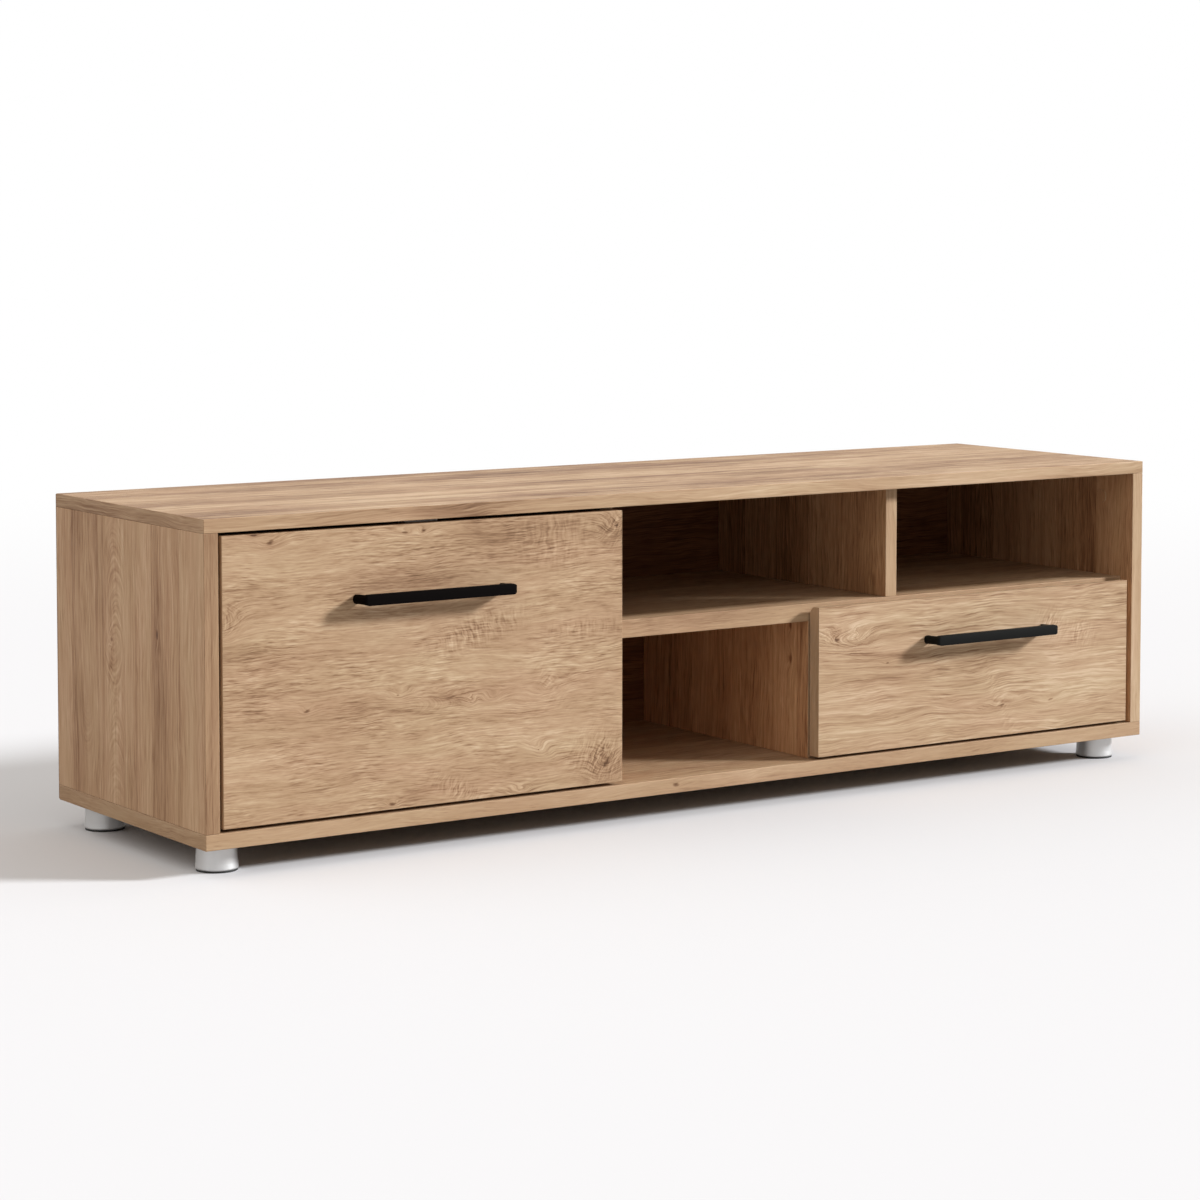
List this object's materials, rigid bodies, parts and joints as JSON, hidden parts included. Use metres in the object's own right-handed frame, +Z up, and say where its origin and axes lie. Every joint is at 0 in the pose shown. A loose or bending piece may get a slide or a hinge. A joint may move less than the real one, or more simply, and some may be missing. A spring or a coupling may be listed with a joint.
{
  "type": "television bench",
  "caption": "Low media bench on feet: oak-look board carcass with open bays, a drop-down flap with a stay and a drawer on telescopic slides.",
  "frame": {"origin": "on the floor, in the middle of the width and of the depth, handles included", "axes": "+X to the right seen from the front, +Y to the back, +Z up; the fronts face -Y"},
  "size_m": [1.4, 0.411, 0.4],
  "materials": {
    "oak_decor": "matt oak-look foil on chipboard, edges banded in the same decor, fine grain and open pores",
    "fibreboard": "thin fibreboard, matt, printed on its inner face and bare brown behind",
    "drawer_board": "pale foil-wrapped board, satin",
    "beech": "bare fluted beech",
    "zinc": "zinc-plated, satin",
    "bright_steel": "bright drawn steel",
    "black_metal": "matt black powder coat",
    "silver_plastic": "silver-grey plastic with a soft satin sheen",
    "dark_rubber": "matt dark glide pad",
    "dark_plastic": "moulded plastic, matt",
    "white_plastic": "moulded plastic, matt",
    "clear_plastic": "soft milky bumper"
  },
  "bodies": {
    "carcass": {"top_panel": "oak_decor", "bottom_panel": "oak_decor", "left_side": "oak_decor", "right_side": "oak_decor", "left_divider": "oak_decor", "middle_shelf": "oak_decor", "lower_divider": "oak_decor", "upper_divider": "oak_decor", "back_panel": "fibreboard", "back_pins": "zinc", "cam_locks": "zinc", "cam_bolts": "zinc", "cam_caps": "oak_decor", "wood_dowels": "beech", "long_screws": "zinc", "feet": "silver_plastic", "foot_pads": "dark_rubber", "foot_screws": "zinc", "hinge_arms": "zinc", "hinge_arm_screws": "zinc", "stay_base": "zinc", "stay_base_screws": "zinc", "catch_magnet": "white_plastic", "catch_screws": "zinc", "slide_outers": "zinc", "slide_outer_screws": "zinc"},
    "flap": {"flap_panel": "oak_decor", "flap_handle": "black_metal", "flap_handle_screws": "zinc", "flap_bumpers": "clear_plastic", "hinge_cups": "zinc", "hinge_pins": "bright_steel", "hinge_cup_screws": "zinc", "stay_bracket": "zinc", "stay_bracket_screws": "zinc", "stay_pivot_pin": "bright_steel", "catch_strike": "zinc", "strike_screw": "zinc"},
    "stay_swivel": {"stay_block": "dark_plastic", "stay_brake_screw": "dark_plastic"},
    "stay_rod_body": {"stay_rod": "bright_steel", "stay_rod_stop": "dark_plastic"},
    "drawer": {"drawer_front": "oak_decor", "drawer_handle": "black_metal", "drawer_handle_screws": "zinc", "drawer_bumpers": "clear_plastic", "drawer_inner_front": "drawer_board", "drawer_left_side": "drawer_board", "drawer_right_side": "drawer_board", "drawer_back": "drawer_board", "drawer_bottom": "fibreboard", "drawer_box_screws": "zinc", "drawer_front_screws": "zinc", "drawer_bottom_screws": "zinc", "slide_inners": "zinc", "slide_inner_screws": "zinc"},
    "slide_middle_pair": {"slide_middles": "zinc"},
    "outer_cage_pair": {"slide_outer_cages": "zinc"},
    "inner_cage_pair": {"slide_inner_cages": "zinc"}
  },
  "joints": [
    {"name": "flap_hinge", "type": "hinge", "parent": "carcass", "child": "flap", "pos_m": [0, -0.1695, 0.0615], "axis": [1, 0, 0], "range_deg": [0, 90]},
    {"name": "stay_block_swivel", "type": "hinge", "parent": "carcass", "child": "stay_swivel", "pos_m": [-0.667, -0.06094, 0.1526], "axis": [1, 0, 0], "range_deg": [0, 45]},
    {"name": "stay_rod_pivot", "type": "hinge", "parent": "flap", "child": "stay_rod_body", "pos_m": [-0.667, -0.1475, 0.2015], "axis": [1, 0, 0], "range_deg": [-45, 0]},
    {"name": "drawer_slide", "type": "slide", "parent": "carcass", "child": "drawer", "axis": [0, -1, 0], "range_m": [0, 0.29]},
    {"name": "middle_member_slide", "type": "slide", "parent": "carcass", "child": "slide_middle_pair", "axis": [0, -1, 0], "range_m": [0, 0.145]},
    {"name": "outer_cage_slide", "type": "slide", "parent": "carcass", "child": "outer_cage_pair", "axis": [0, -1, 0], "range_m": [0, 0.0725]},
    {"name": "inner_cage_slide", "type": "slide", "parent": "carcass", "child": "inner_cage_pair", "axis": [0, -1, 0], "range_m": [0, 0.2175]}
  ],
  "couplings": [
    {"joint": "stay_block_swivel", "follows": "flap_hinge", "ratio": 0.5},
    {"joint": "stay_rod_pivot", "follows": "flap_hinge", "ratio": -0.5},
    {"joint": "middle_member_slide", "follows": "drawer_slide", "ratio": 0.5},
    {"joint": "outer_cage_slide", "follows": "drawer_slide", "ratio": 0.25},
    {"joint": "inner_cage_slide", "follows": "drawer_slide", "ratio": 0.75}
  ]
}
